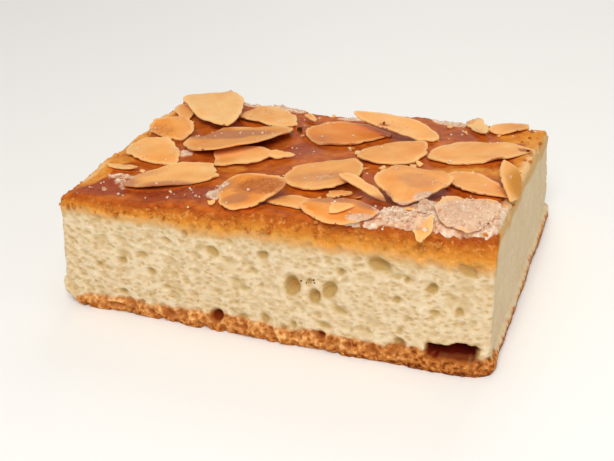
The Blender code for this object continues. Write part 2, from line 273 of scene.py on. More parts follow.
def paint(group, places):
    """How strongly a group of patches colours each place, 0 to 1."""
    cover = np.zeros(len(places))
    for patch in group:
        turn = math.radians(patch.turn)
        x = places[:, 0] - patch.x
        y = places[:, 1] - patch.y
        along = (x * math.cos(turn) + y * math.sin(turn)) / patch.long
        across = (y * math.cos(turn) - x * math.sin(turn)) / patch.wide
        fade = 1 - smooth_step(0.5, 1.15, np.hypot(along, across))
        cover = np.maximum(cover, patch.strength * fade)
    return cover


print(f"{len(MELTED)} melted, {len(SUGARED)} sugared and {len(BROWNED)} browned places")

# %% [markdown]
# ## The crumb: a sheet wrapped round the slice
#
# The cut sides are what the eye goes to, so they get nearly all the corners of this piece. A cube
# would spend as many on its hidden top and bottom. Instead a flat grid is wrapped round the slice
# like paper round a box: its columns go round the outline and its rows climb from the underside,
# over the rounded foot, up the side and in over the top edge. Two large faces close the ends.
#
# Both walks, round the outline and up the profile, are paths that a helper samples evenly.

# %% The walk round the slice and the walk up its side
WORN_CORNER = 0.9
FOOT_ROUND = 1.3
TOP_ROUND = 1.5
RIM = 3.0
RECESS = 1.6
MEAN_HEIGHT = 24.0
LIFTED_CORNER = 3.4
LIFTED_REACH = 5.5
QUARTER = np.radians(np.linspace(0, 90, 9))


def walk(path, shares):
    """Sample a path at shares of its length, which its first two columns give."""
    steps = np.linalg.norm(np.diff(path[:, :2], axis=0), axis=1)
    reach = np.append(0.0, np.cumsum(steps))
    return np.column_stack([np.interp(shares * reach[-1], reach, column) for column in path.T]), reach


def outline_path():
    """The slice from above, as a rectangle with worn corners: left, front, right and back side."""
    centres = ((WORN_CORNER, DEPTH - WORN_CORNER), (WORN_CORNER, WORN_CORNER),
               (WIDTH - WORN_CORNER, WORN_CORNER), (WIDTH - WORN_CORNER, DEPTH - WORN_CORNER))
    arcs = [np.column_stack((x + WORN_CORNER * np.cos(QUARTER + math.radians(90 * (corner + 1))),
                             y + WORN_CORNER * np.sin(QUARTER + math.radians(90 * (corner + 1)))))
            for corner, (x, y) in enumerate(centres)]
    return np.vstack(arcs + [arcs[0][:1]])


def profile_path():
    """Up the side: distance in, mean height, share of the height, and millimetres added to it."""
    sin, cos = np.sin(QUARTER), np.cos(QUARTER)
    still = np.zeros_like(QUARTER)
    foot = np.column_stack((FOOT_ROUND * (1 - sin), FOOT_ROUND * (1 - cos), still, FOOT_ROUND * (1 - cos)))
    head = np.column_stack((TOP_ROUND * (1 - cos), MEAN_HEIGHT - TOP_ROUND * (1 - sin), still + 1,
                            -TOP_ROUND * (1 - sin)))
    underside = (RIM, 0.0, 0.0, 0.0)
    inside = (RIM, MEAN_HEIGHT - RECESS, 1.0, -RECESS)
    return np.vstack((underside, foot, head, inside))


outline = outline_path()
side_reach = walk(outline, np.zeros(1))[1]
print(f"once round the slice is {side_reach[-1]:.1f} mm")

# %% [markdown]
# The wrapped grid is laid on the slice with the same blend of corners as the plain cake. The foot
# bows out a little along the front, and the top sags where it meets the middle of the back. A slow
# wave and a little hollow make the cut sides look torn by the knife, and the base crust stands
# proud of the crumb. Every move goes along the sheet's own normals.

# %% Wrap the sheet
COLUMNS = 1120
ROWS = 86
crumb_mesh = flat_grid("cake_crumb", COLUMNS, ROWS)
grid = read_rows(crumb_mesh.vertices, "co") + 0.5
column = np.rint(grid[:, 0] * COLUMNS).astype(int)
row = np.rint(grid[:, 1] * ROWS).astype(int)
round_walk = walk(outline, np.arange(COLUMNS + 1) / COLUMNS)[0][column]
up_walk = walk(profile_path(), np.arange(ROWS + 1) / ROWS)[0][row]


def slice_place(x, y, inset, share, extra):
    """A place on the slice from its place on the rectangle, pulled in by inset."""
    u = inset / WIDTH + x / WIDTH * (1 - 2 * inset / WIDTH)
    v = inset / DEPTH + y / DEPTH * (1 - 2 * inset / DEPTH)
    foot = blend_corners(FOOT_CORNERS[:, :, None], u, v)
    crown = blend_corners(TOP_CORNERS[:, :, None], u, v)
    bow = FOOT_BOW * smooth_step(0.05, 0.75, u) * smooth_step(1.03, 0.95, u) * (1 - v) ** 8 * (1 - share) ** 2
    dip = BACK_DIP * np.exp(-((x - BACK_DIP_AT) / BACK_DIP_REACH) ** 2) * smooth_step(50, DEPTH, y)
    plan = foot * (1 - share) + crown * share - np.array((np.zeros_like(bow), bow))
    lift = LIFTED_CORNER * (1 - np.minimum(1, np.hypot(*foot) / LIFTED_REACH)) ** 2
    wave = slow_wave(np.column_stack((plan[0], plan[1], np.zeros(len(x)))), TOP_WAVE_LENGTH)
    top = blend_corners(TOP_HEIGHTS, u, v) + TOP_WAVE * wave - dip
    height = lift * (1 - share) + top * share + extra
    return np.column_stack((plan[0], plan[1], height)), height - lift, top - height


side_places, above_foot, below_top = slice_place(
    round_walk[:, 0], round_walk[:, 1], up_walk[:, 0], up_walk[:, 2], up_walk[:, 3])
set_places(crumb_mesh, side_places)
side_normals = get_normals(crumb_mesh)
print(f"{len(side_places)} corners wrapped round the slice")

# %% [markdown]
# ## How deep the oven browned the dough
#
# Towards the top the crumb turns yellow, orange and brown, and at the base it turns brown at once.
# The top's browning is thin at the left of the front and three times as deep at the right. The
# other three cuts are paler: their browning starts at orange, and on the right at tan. Both
# borders wander, as heat follows the bubbles, and the base thins out where the front left corner
# is lifted.

# %% Borders of the browned top and base
FRONT_BROWNING = np.array(((0, 1.5), (4, 1.8), (12, 2.6), (17, 1.9), (23, 2.1), (30, 3.6), (37, 4.2),
                           (43, 3.9), (50, 4.0), (57, 4.6), (65, 5.0), (73, 5.2), (80, 5.4), (86, 5.6),
                           (90, 5.8)))
ELSEWHERE_BROWNING = 2.6
RIGHT_THINNER = 1.5
TAN_ZONE = 2.2
FRONT_BASE = np.array(((0, 2.4), (3, 3.2), (10, 2.9), (13, 3.6), (16, 3.2), (24, 3.4), (30, 3.6),
                       (35, 4.2), (38, 4.4), (41, 3.6), (45, 4.0), (49, 3.4), (56, 4.1), (61, 3.9),
                       (70, 3.7), (77, 4.2), (79, 3.5), (87, 3.1), (88.6, 3.7), (90, 3.9)))
ELSEWHERE_BASE = 2.3


def browning(places, under_top):
    """How far down each place is: 0 on top, 1 where the browned layer ends, 2 where the tan zone does."""
    at_front = np.interp(places[:, 0], *FRONT_BROWNING.T)
    inside = smooth_step(0.5, 3.0, places[:, 1])
    right = smooth_step(86.0, 89.0, places[:, 0])
    reach = at_front * (1 - inside) + (ELSEWHERE_BROWNING - RIGHT_THINNER * right) * inside
    wander = bumpy(places, (0.5, 5.0, 11), (0.45, 1.8, 12), (0.25, 0.7, 13))
    under = under_top + wander * smooth_step(0.3, 1.5, under_top)
    down = np.minimum(under / reach, 1) + np.maximum(under - reach, 0) / TAN_ZONE
    return np.maximum(down, (0.5 + right) * inside)


def base_border(places):
    """Height above the foot at which the browned base ends."""
    front = 1 - smooth_step(0.5, 2.5, places[:, 1])
    lifted = 1 - smooth_step(1.0, 5.0, np.hypot(places[:, 0], places[:, 1]))
    wander = bumpy(places, (0.4, 4.5, 14), (0.45, 1.5, 15), (0.3, 0.7, 16))
    height = ELSEWHERE_BASE * (1 - front) + np.interp(places[:, 0], *FRONT_BASE.T) * front
    return height * (1 - 0.7 * lifted) + wander * (1 - 0.3 * front)


browned = browning(side_places, below_top)
base = 1 - smooth_step(-0.45, 0.35, above_foot - base_border(side_places))
print(f"{np.mean(browned < 1):.0%} of the side is browned top, {np.mean(base > 0.5):.0%} browned base")

# %% [markdown]
# ## Bubbles
#
# Cutting a risen dough opens its bubbles. Each one is an oval hollow, wider than high because the
# dough sinks a little, and its walls are steep. All hollows are pressed into one map of depths,
# laid out like the grid: the large ones where the real slice has them, the rest drawn at random
# with a fixed seed. The cut that faces the pan's middle is opener than the two short sides.

# %% The large bubbles of the front
Bubble = namedtuple("Bubble", "x z width height depth tilt")
FRONT_BUBBLES = [Bubble(*values) for values in (
    (11.6, 1.6, 4.6, 1, 1.2, -10), (20.5, 1.7, 1.9, 1.2, 1.4, -10), (24.8, 2.1, 3.9, 2.4, 1.3, -10),
    (35, 3.3, 3.1, 2.6, 3.2, 25), (40.9, 4.3, 3, 1.4, 1.2, -8), (45.7, 4.8, 2.4, 2.1, 1.4, -40),
    (41.6, 2.1, 2.2, 1.2, 1.6, -5), (37.1, 1.6, 1.1, 0.7, 1.3, 0), (46.4, 2.1, 1.1, 0.7, 1.3, 0),
    (57.2, 3.3, 2.5, 1.4, 1.9, -8), (51, 2.6, 1.5, 0.6, 1.2, 0), (59.4, 2.2, 2.5, 1, 1.2, -8),
    (63.2, 2.5, 1.8, 1.3, 1.8, -20), (68, 2.5, 2.8, 1.4, 1.4, -20), (73, 4.4, 3.1, 1.8, 1.8, -20),
    (71.7, 2.5, 2.6, 0.9, 1.2, -8), (51.8, 4.4, 1.9, 1.4, 1.4, -10), (58.1, 5.4, 4.9, 1.4, 1, -10),
    (63.3, 5.2, 1.2, 0.6, 1.1, 0), (66.3, 5.9, 1.6, 0.9, 1.1, -10), (73, 7, 1.5, 1.1, 1, -8),
    (51.3, 12.3, 3.3, 4.4, 2.6, 10), (55.9, 10.9, 2.8, 3.2, 2.2, -50), (58.8, 12.5, 3.4, 4.4, 2, -35),
    (54.7, 13.7, 1, 1.6, 1.8, -50), (61, 16.7, 1.5, 1.5, 1.5, -30), (64.6, 18.4, 2.3, 0.9, 1.1, -4),
    (68.6, 19, 5.2, 2.9, 2.2, -2), (73.7, 16.9, 1.5, 1.4, 1.5, 0), (78.5, 16.1, 2, 2.4, 1.8, -30),
    (71.9, 12.8, 1.7, 1.3, 1.4, 0), (61, 8.8, 3.6, 1.2, 1, -8), (79.2, 11.3, 3.4, 1.4, 1, -6),
    (83.7, 12.1, 2.2, 1.5, 1.2, 0), (85.2, 20.2, 4.8, 2.8, 1.2, -6), (74.3, 9.5, 2.3, 1.1, 0.8, -8),
    (13.8, 12, 2.8, 1.6, 1.2, 0), (18.3, 13.7, 3.4, 1.6, 0.9, -10), (20.3, 10.4, 2.5, 1.4, 1.1, -15),
    (13.6, 4.7, 2.6, 1.5, 1.3, -5), (34.3, 16.9, 3.9, 2.2, 1.4, -20), (45.3, 17.7, 2.7, 2, 1.4, -10),
    (42.8, 14.2, 1.9, 1.3, 1, -20), (39.3, 7, 2, 0.9, 1, -5), (44.7, 11.3, 1.1, 1.1, 1.2, 0),
    (23.9, 7.6, 2.7, 1.2, 0.9, -8), (28.4, 19.8, 1.8, 1.1, 1.2, -15), (24.3, 17.7, 3.3, 1.1, 1, -8),
    (8.3, 10.5, 1.9, 1.2, 1, -20), (6.2, 17.2, 2.6, 0.9, 0.8, -10), (37.9, 19.6, 3, 1.3, 0.9, -8),
    (40.9, 10.2, 3, 1.1, 0.8, -8), (30.3, 7, 2.2, 0.9, 0.9, -5),
)]
print(f"{len(FRONT_BUBBLES)} large bubbles on the front")

# %% Press every bubble into one map of depths
across_mm = np.arange(COLUMNS + 1) / COLUMNS * side_reach[-1]


def as_map(values):
    """The numbers of the sheet's corners, laid out like its grid."""
    laid = np.zeros((ROWS + 1, COLUMNS + 1))
    laid[row, column] = values
    return laid


unrolled = np.column_stack((across_mm[column], above_foot, np.zeros(len(row))))
depth_map = as_map(0.0)
lip_map = as_map(0.0)
height_map = as_map(above_foot)
ragged_map = as_map(bumps(unrolled, 0.8, 21))
warped_across = as_map(across_mm[column] + 0.45 * bumps(unrolled, 1.7, 22))
warped_height = as_map(above_foot + 0.35 * bumps(unrolled, 1.7, 23))
LEFT, FRONT, RIGHT, BACK = (side_reach[8 + 9 * corner] - WORN_CORNER for corner in range(4))


def press(bubble, side, steep=1.1, square=2.0):
    """Press one warped bubble into the map of depths, and its lip into the map of lips."""
    middle = side + bubble.x
    reach = max(bubble.width, bubble.height)
    first, last = np.searchsorted(across_mm, (middle - reach, middle + reach))
    window = np.s_[:, first:last]
    turn = math.radians(bubble.tilt)
    x = warped_across[window] - middle
    z = warped_height[window] - bubble.z
    along = np.abs(x * math.cos(turn) + z * math.sin(turn)) / (bubble.width / 2)
    over = np.abs(z * math.cos(turn) - x * math.sin(turn)) / (bubble.height / 2)
    away = (along ** square + over ** square) * (1 + 0.35 * ragged_map[window])
    depth_map[window] = np.maximum(depth_map[window], bubble.depth * np.clip(1 - away, 0, 1) ** steep)
    lip = min(0.04 * bubble.width, 0.12) * np.exp(-((away - 1.35) / 0.4) ** 2)
    lip_map[window] = np.maximum(lip_map[window], lip)


for bubble in FRONT_BUBBLES:
    press(bubble, FRONT)
    shallow = bubble._replace(width=bubble.width * 1.5, height=bubble.height * 1.4, depth=bubble.depth * 0.2)
    press(shallow, FRONT)

draw = np.random.default_rng(7)
# Heights they lie at, widths, flatness, depth as a share of the width, and how many on a millimetre.
CLASSES = (
    ((1.0, MEAN_HEIGHT), (2.4, 5.0), (0.28, 0.50), 0.10, 1.3),
    ((1.0, MEAN_HEIGHT), (1.2, 2.6), (0.30, 0.55), 0.20, 6.0),
    ((1.0, MEAN_HEIGHT), (0.8, 1.4), (0.40, 0.70), 0.26, 9.0),
    ((0.6, 3.6), (0.8, 2.4), (0.30, 0.60), 0.50, 1.8),
)
OPENNESS = ((LEFT, DEPTH, 0.9), (FRONT, WIDTH, 1.0), (RIGHT, DEPTH, 0.5), (BACK, WIDTH, 0.9))
pressed = 0
for side, length, openness in OPENNESS:
    for heights, widths, flatness, deep, density in CLASSES:
        for _ in range(int(length * density * openness)):
            width = draw.uniform(*widths)
            bubble = Bubble(draw.uniform(1.0, length - 1.0), draw.uniform(*heights), width,
                            width * draw.uniform(*flatness), width * deep * draw.uniform(0.4, 1.3),
                            draw.normal(-12, 10))
            press(bubble, side)
            pressed += 1
print(f"{pressed} smaller bubbles pressed, deepest {depth_map.max():.1f} mm")

# %% [markdown]
# One hollow on the front is a real cave: a flat bubble that tore open above the base crust. It is
# far deeper than the rest, and its upper lip hangs in two scallops, so two ovals make it. It is
# pressed on a map of its own, which tells the material where the cave is. All depths then fade
# under the top's crust and at the foot, and are softened a little.

# %% Open the cave
CAVE = (Bubble(80.9, 4.2, 5.6, 2.2, 4.0, 0), Bubble(85.3, 4.3, 5.4, 2.9, 5.0, 0))
SOFTENING_ROUNDS = 2
closed_map = depth_map.copy()
depth_map[:] = 0
for scallop in CAVE:
    press(scallop, FRONT, steep=0.25, square=4.0)
in_cave = smooth_step(0.1, 1.0, depth_map[row, column])
depth_map = np.maximum(depth_map, closed_map)
depth_map *= as_map(0.35 + 0.65 * smooth_step(0.5, 1.1, browned)) * smooth_step(-0.1, 0.4, height_map)
for _ in range(SOFTENING_ROUNDS):
    depth_map[1:-1, 1:-1] = (depth_map[1:-1, 1:-1] * 4 + depth_map[:-2, 1:-1] + depth_map[2:, 1:-1]
                             + depth_map[1:-1, :-2] + depth_map[1:-1, 2:]) / 8
depth = depth_map[row, column]
lips = lip_map[row, column] * (1 - smooth_step(0.02, 0.2, depth))
print(f"the cave is {depth_map.max():.1f} mm deep")

# %% [markdown]
# Between the bubbles the crumb isn't flat either: the knife drags its walls into threads and
# webs, which lie along the bubbles. Noise that is stretched along the sheet's rows, and sinks to
# the right as the bubbles do, makes them: its crossings through zero are the threads. The browned
# borders are crumbly instead, so they get coarse grains. The right cut is closed and calmer. Where
# the sheet's two ends meet, at the back left corner, both get the same move.

# %% Move the sheet to its relief
on_side = up_walk[:, 0] < 0.5
along = across_mm[column]
strands = np.column_stack((along - 0.2 * above_foot, 2.6 * (above_foot + 0.2 * along), np.zeros(len(row))))
webs = bumpy(strands, (0.5, 3.2, 31), (0.3, 1.5, 32))
threads = (1 - np.abs(bumps(strands, 2.2, 133))) ** 4 + 0.6 * (1 - np.abs(bumps(strands, 1.2, 36))) ** 4
grains = bumpy(side_places, (0.5, 1.3, 34), (0.7, 0.65, 35))
ledge = 1 - smooth_step(BASE_CRUST - 0.3, BASE_CRUST + 0.9, above_foot)
in_crumb = (1 - ledge) * smooth_step(TOP_CRUST - 1.0, TOP_CRUST + 1.0, below_top)
crumbly = np.maximum(0.55 * base, 0.8 * (1 - smooth_step(0.8, 1.4, browned)))
at_right = smooth_step(RIGHT, RIGHT + 2, along) * (1 - smooth_step(BACK - 2, BACK, along))
calm = (1 - 0.6 * at_right) * smooth_step(0.0, 1.0, np.minimum(along, side_reach[-1] - along))
depth *= calm
relief = (1 - crumbly) * (0.14 * webs + 0.10 * threads + lips) + crumbly * 0.45 * grains
relief = relief * calm + (0.45 + 0.3 * at_right) * ledge - 0.2 * in_crumb + 0.3 * slow_wave(side_places, 9.0)
relief = np.where(on_side, relief - depth, 0.0)
first_end, last_end = column == 0, column == COLUMNS
side_normals[first_end] = side_normals[last_end] = (side_normals[first_end] + side_normals[last_end]) / 2
relief[last_end] = relief[first_end]
set_places(crumb_mesh, side_places + side_normals * relief[:, None])
print(f"side relief {relief.min():.2f} to {relief.max():.2f} mm")

# %% [markdown]
# The doubles at the sheet's two ends are merged, and the two open rings, under the foot and inside
# the top edge, are each filled with one face. The numbers that the material needs are stored
# before that, because merging keeps them.

# %% Close the crumb
NUMBERS = ("on_top", "browning", "base", "hollow", "in_cave", "thread", "calm", "melted", "sugared", "golden",
           "pale", "near_flake")


def set_numbers(mesh, **values):
    """Store every number of the cake's finish, 0 where none is given."""
    for name in NUMBERS:
        set_number(mesh, name, values.get(name, np.zeros(len(mesh.vertices))))


set_numbers(crumb_mesh, browning=browned, base=base, hollow=depth, in_cave=in_cave, calm=1 - calm,
            # thread paints the crumb's threads and pore lips lighter: a painted highlight
            thread=(threads - webs + 14 * lips) * calm)
sheet = open_mesh(crumb_mesh)
bmesh.ops.remove_doubles(sheet, verts=sheet.verts, dist=SAME_PLACE)
fill_rims(sheet)
open_edges = sum(edge.is_boundary for edge in sheet.edges)
close_mesh(sheet, crumb_mesh)
print(f"crumb: {len(crumb_mesh.loop_triangles)} triangles, {open_edges} open edges")

# %% [markdown]
# ## The browned top
#
# The top is a second sheet, laid over the crumb like a thin lid. It carries the browned skin of
# the dough with the butter and sugar on it, so its corners are spread evenly over the plan, a
# little closer near the edges, where the sheet rolls over the cut and ends just under it.

# %% Lay the top sheet
TOP_CELLS = (330, 250)
CROWDING = 0.35


def crowd(share):
    return share - CROWDING * np.sin(2 * math.pi * share) / (2 * math.pi)


top_mesh = flat_grid("cake_top", *TOP_CELLS)
grid = crowd(read_rows(top_mesh.vertices, "co")[:, :2] + 0.5)
plan_x = grid[:, 0] * WIDTH
plan_y = grid[:, 1] * DEPTH
from_edge = np.minimum(np.minimum(plan_x, WIDTH - plan_x), np.minimum(plan_y, DEPTH - plan_y))
roll = TOP_ROUND - np.sqrt(np.maximum(0, TOP_ROUND ** 2 - np.maximum(0, TOP_ROUND - from_edge) ** 2))
top_places = slice_place(plan_x, plan_y, 0.0, 1.0, -roll)[0]
print(f"{len(top_places)} corners over the top")

# %% [markdown]
# The sheet is then raised: by its own thickness, by ripples where the butter boiled, by crusts of
# sugar, and towards the underside of every flake close above it, so that the flakes look baked
# in and not laid on. Rays cast upwards find how far above the sheet the next flake is.

# %% Raise the top to its relief
SKIN = 0.28
FAR_FLAKE = 3.0
NEAR_FLAKE = 1.4
MOST_RAISED = 0.6
EDGE_SUNK = 0.22
flake_nodes = [name for name in sorted(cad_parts) if name != "cake"]


def ground_of(meshes):
    """The faces of some meshes, for rays to find."""
    soup = bmesh.new()
    for mesh in meshes:
        soup.from_mesh(mesh)
    ground = BVHTree.FromBMesh(soup)
    soup.free()
    return ground


flakes_above = ground_of(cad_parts[name].data for name in flake_nodes)


def room_above(places, most):
    """Millimetres from each place up to the next flake, or most if there is none as near."""
    rooms = np.full(len(places), most)
    up = Vector((0.0, 0.0, 1.0))
    for number, place in enumerate((places + FOOT_AT) * MM):
        distance = flakes_above.ray_cast(Vector(place), up, most * MM)[3]
        if distance is not None:
            rooms[number] = distance / MM
    return rooms


room = room_above(top_places, FAR_FLAKE)
patchy = bumpy(top_places, (0.3, 2.2, 41), (0.2, 0.9, 47))
sugared = smooth_step(0.25, 0.5, paint(SUGARED, top_places) + patchy * 0.8)
melted = paint(MELTED, top_places)
golden = smooth_step(0.2, 0.8, paint(GOLDEN, top_places) + patchy * 0.7)
pale = smooth_step(0.1, 1.0, paint(PALE, top_places) + patchy * 0.5)
rise = SKIN + bumpy(top_places, (0.10, 4.0, 42), (0.08, 1.5, 43))
rise += (0.03 + 0.06 * melted) * bumps(top_places, 0.6, 44)
clumps = 0.7 + bumpy(top_places, (0.5, 2.0, 45), (0.6, 0.55, 46))
rise += sugared * 0.3 * np.maximum(clumps, 0.0)
rise += golden * 0.05 * bumps(top_places, 1.1, 48)
rise = np.where(room < NEAR_FLAKE, np.maximum(rise, np.minimum(room, MOST_RAISED)), rise)
worn = 1 - smooth_step(0.5, 3.0, from_edge)
rise += worn * (bumpy(top_places, (0.28, 2.4, 40), (0.26, 1.0, 38), (0.20, 0.5, 37)) - 0.05)
edge_fade = smooth_step(0.0, 1.0, from_edge)
rise = rise * edge_fade - EDGE_SUNK * (1 - edge_fade)
set_places(top_mesh, top_places)
top_normals = get_normals(top_mesh)
set_places(top_mesh, top_places + top_normals * rise[:, None])
print(f"the top rises {rise.min():.2f} to {rise.max():.2f} mm, {np.mean(room < NEAR_FLAKE):.0%} under flakes")

# %% Close the top
HEM = 0.8
over_edge = roll - 0.7 * sugared + bumpy(top_places, (0.4, 1.8, 39), (0.25, 0.7, 29))
set_numbers(top_mesh, on_top=1 - smooth_step(0.3, 1.0, over_edge), browning=browning(top_places, roll),
            # thread holds the sugar clumps' height, which the finish turns into painted highlight and shade
            melted=melted, sugared=sugared, golden=golden, pale=pale, thread=clumps,
            near_flake=1 - smooth_step(0.3, 2.4, room))
sheet = open_mesh(top_mesh)
rim = [edge for edge in sheet.edges if edge.is_boundary]
for made in bmesh.ops.extrude_edge_only(sheet, edges=rim)["geom"]:
    if isinstance(made, bmesh.types.BMVert):
        made.co -= made.co.to_2d().to_3d().normalized() * HEM * MM
fill_rims(sheet)
close_mesh(sheet, top_mesh)
print(f"top: {len(top_mesh.loop_triangles)} triangles")

# %% [markdown]
# ## Writing a material as sums
#
# A finish is a net of small maths nodes. Written one by one they hide what they do, so a Value
# wraps a node's output and turns + - * / into Math nodes. Finish holds the material, and its one
# method node() adds any other node: its settings first, then its sockets.

# %% A wrapper for shader maths
class Value:
    """One output of a node, which can be used in sums."""

    def __init__(self, finish, socket):
        self.finish = finish
        self.socket = socket

    def __add__(self, other):
        return self.finish.math("ADD", self, other)

    def __sub__(self, other):
        return self.finish.math("SUBTRACT", self, other)

    def __rsub__(self, other):
        return self.finish.math("SUBTRACT", other, self)

    def __mul__(self, other):
        return self.finish.math("MULTIPLY", self, other)

    __radd__ = __add__
    __rmul__ = __mul__


class Finish:
    """A material in the making, on one Principled shader."""

    def __init__(self, name, **constants):
        self.material = bpy.data.materials.new(name)
        self.material.use_nodes = True
        self.tree = self.material.node_tree
        self.shader = self.tree.nodes["Principled BSDF"]
        for socket, value in constants.items():
            self.shader.inputs[socket.replace("_", " ")].default_value = value
        self.place = self.node("ShaderNodeTexCoord", output="Object")

    def node(self, kind, settings=(), sockets=(), output=0):
        """Add a node: its settings as pairs, then the values or links of its sockets."""
        made = self.tree.nodes.new(kind)
        for name, value in dict(settings).items():
            setattr(made, name, value)
        for name, value in dict(sockets).items():
            if isinstance(value, Value):
                self.tree.links.new(value.socket, made.inputs[name])
            else:
                made.inputs[name].default_value = value
        return Value(self, made.outputs[output])

    def math(self, operation, *values):
        return self.node("ShaderNodeMath", {"operation": operation}, enumerate(values))

    def number(self, name):
        return self.node("ShaderNodeAttribute", {"attribute_name": name}, output="Fac")

    def grain(self, length, detail=2.0, stretch=(1.0, 1.0, 1.0)):
        """Smooth noise with bumps of a length in millimetres, about -1 to 1."""
        scaled = self.node("ShaderNodeMapping", sockets={"Vector": self.place, "Scale": stretch})
        wave = self.node("ShaderNodeTexNoise", sockets={"Vector": scaled, "Scale": 1 / (length * MM),
                                                        "Detail": detail})
        return (wave - 0.5) * 3.0

    def cells(self, length, stretch, slant, bend):
        """Distance from the middle of the nearest of many cells, 0 to about 0.8."""
        scaled = self.node("ShaderNodeMapping", sockets={"Vector": self.place, "Scale": stretch,
                                                         "Rotation": (0.0, slant, 0.0)})
        waves = self.node("ShaderNodeTexNoise", sockets={"Vector": self.place, "Scale": 1 / (length * MM)},
                          output="Color")
        bent = self.node("ShaderNodeVectorMath", {"operation": "MULTIPLY_ADD"},
                         {0: waves, 1: (bend * MM, bend * MM, bend * MM), 2: scaled})
        return self.node("ShaderNodeTexVoronoi", sockets={"Vector": bent, "Scale": 1 / (length * MM)})

    def step(self, value, low, high):
        """0 below low, 1 above high, smooth between."""
        return self.node("ShaderNodeMapRange", {"interpolation_type": "SMOOTHSTEP"},
                         {"Value": value, "From Min": low, "From Max": high})

    def mix(self, factor, first, second):
        return self.node("ShaderNodeMix", {"data_type": "RGBA"}, {0: factor, 6: first, 7: second}, output=2)

    def layered(self, colour, *layers):
        """A colour with others over it, each given as how much of it shows, and the colour."""
        for cover, over in layers:
            colour = self.mix(cover, colour, over)
        return colour

    def ramp(self, value, *stops):
        """A colour for each value from 0 to 1: stops are (value, colour)."""
        shade = self.node("ShaderNodeValToRGB", sockets={"Fac": value})
        elements = shade.socket.node.color_ramp.elements
        while len(elements) < len(stops):
            elements.new(0.5)
        for element, (at, colour) in zip(elements, stops):
            element.position = at
            element.color = colour
        return shade

    def bump(self, height, strength, distance):
        return self.node("ShaderNodeBump", sockets={"Height": height, "Strength": strength,
                                                    "Distance": distance * MM})

    def set(self, socket, value):
        self.tree.links.new(value.socket, self.shader.inputs[socket])


def tone(red, green, blue):
    """A colour as it is read off a screen, 0 to 255, for a shader."""
    def linear(part):
        part /= 255
        return part / 12.92 if part <= 0.04045 else ((part + 0.055) / 1.055) ** 2.4
    return linear(red), linear(green), linear(blue), 1.0


print("Value and Finish are ready")

# %% [markdown]
# ## The cake's finish
#
# Crumb and top share one material, because the browning runs over from one piece to the other.
# The crumb is cream, with painted shade that makes it yellower and darker in its hollows. The browned
# layer goes from red-brown over orange and yellow to cream, and the base is grainy and brown, with
# painted shade that makes its hollows nearly black.

# %% Colours of crumb and crusts
cake = Finish("baked_dough", Subsurface_Weight=0.5, Subsurface_Scale=0.0012,
              Subsurface_Radius=(1.0, 0.6, 0.3), Specular_IOR_Level=0.08)
hollow = cake.number("hollow")
thread = cake.number("thread")
fine = cake.grain(0.5)
medium = cake.grain(1.6, 3.0)
slow = cake.grain(7.0)
fibre = cake.grain(1.3, 4.0, (1.0, 1.0, 2.6))

cell = cake.cells(1.5, (1.0, 1.0, 1.8), 0.2, 1.1)
calm = cake.number("calm")
spongy = (1 - calm * 0.8) * cake.step(cake.grain(4.0), -1.0, 0.2)

still = cake.mix(cake.step(medium * 0.6 + slow * 0.6, -0.9, 0.9), tone(228, 202, 160), tone(238, 216, 182))
# the lighter webbing holds painted highlights on threads and pore lips, and painted shading across the small
# cells
webbing_and_highlights = thread + fibre * (0.4 - calm * 0.3) + slow * 0.5 + cell * spongy * 1.6
crumb_colour = cake.layered(
    tone(200, 170, 124),
    (cake.step(webbing_and_highlights, -1.0, 3.0), tone(222, 202, 168)),
    # painted shade in the pin holes at the cells' middles, and painted highlight on the thin webs at their
    # edges
    (cake.step(cell + fibre * 0.06, 0.50, 0.12) * spongy * 0.75, tone(194, 160, 106)),
    (cake.step(cell, 0.72, 0.95) * spongy * 0.5, tone(238, 220, 192)),
    # painted shade: bubble hollows turn darker and yellower the deeper they are
    (cake.step(hollow + fibre * 0.04, 0.02, 0.8), tone(188, 156, 98)),
    (cake.step(hollow, 1.2, 2.8), tone(186, 136, 70)),
    (calm * 0.8, still))

layer = cake.number("browning") + fine * 0.10 + medium * 0.16 + slow * 0.08
flecks = cake.grain(1.1, 4.0)
top_band = cake.layered(
    cake.ramp(layer * 0.5, (0.0, tone(160, 70, 24)), (0.12, tone(180, 93, 28)), (0.26, tone(199, 118, 38)),
              (0.40, tone(211, 138, 52)), (0.50, tone(220, 156, 74)), (0.62, tone(214, 160, 96)),
              (0.82, tone(206, 164, 108))),
    (cake.step(flecks, 0.0, 0.8) * 0.6, tone(236, 178, 96)),
    (cake.step(flecks, -0.3, -1.0) * 0.6, tone(146, 66, 14)),
    # painted shade: darker in the hollows of the browned band
    (cake.step(hollow, 0.05, 0.5) * 0.5, tone(164, 112, 48)))

crust_grain = cake.grain(0.8, 5.0)
pits = cake.cells(1.3, (1.0, 1.0, 1.5), 0.2, 1.3)
across_slice, bottom = (cake.node("ShaderNodeSeparateXYZ", sockets={"Vector": cake.place}, output=axis)
                        for axis in "XZ")
